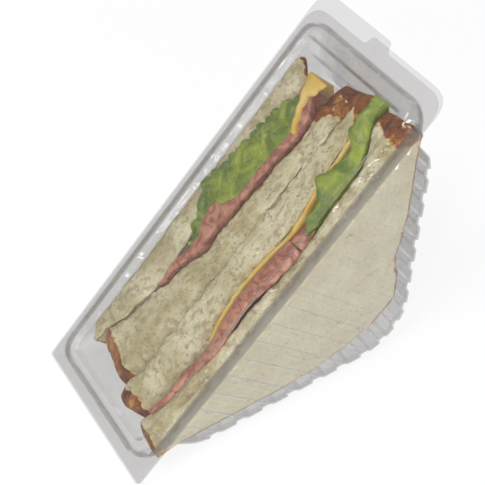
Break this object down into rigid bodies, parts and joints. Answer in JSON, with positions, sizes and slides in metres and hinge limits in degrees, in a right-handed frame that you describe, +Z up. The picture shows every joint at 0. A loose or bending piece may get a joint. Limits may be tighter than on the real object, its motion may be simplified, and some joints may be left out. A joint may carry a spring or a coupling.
{
  "type": "hinged sandwich wedge pack with sandwich",
  "caption": "Clear hinged plastic wedge pack with ribbed tub and raised ring lid, holding a cut ham, cheese and lettuce sandwich.",
  "frame": {"origin": "centre of the bounding box in X and Y, on the surface that the pack stands on", "axes": "+Z up; +X towards the upright leg, away from the hinge; Y across the pack, with the lid facing -X and up at 45 degrees"},
  "size_m": [0.1368, 0.077, 0.1398],
  "materials": {
    "clear_plastic": "clear thermoformed PET, glossy",
    "bread": "soft matt crumb with a thin brown crust",
    "ham": "moist satin",
    "cheese": "waxy satin",
    "lettuce": "waxy satin"
  },
  "bodies": {
    "tub": {"tub": "clear_plastic", "bread_slice_1": "bread", "bread_slice_2": "bread", "bread_slice_3": "bread", "bread_slice_4": "bread", "ham_slice_1": "ham", "ham_slice_2": "ham", "ham_slice_3": "ham", "cheese_slice_1": "cheese", "cheese_slice_2": "cheese", "cheese_slice_3": "cheese", "lettuce_leaf_1": "lettuce", "lettuce_leaf_2": "lettuce"},
    "lid": {"lid": "clear_plastic"}
  },
  "joints": [
    {"name": "lid_hinge", "type": "hinge", "parent": "tub", "child": "lid", "pos_m": [-0.06792, 0, 0.00491], "axis": [0, -1, 0], "range_deg": [0, 130]}
  ]
}
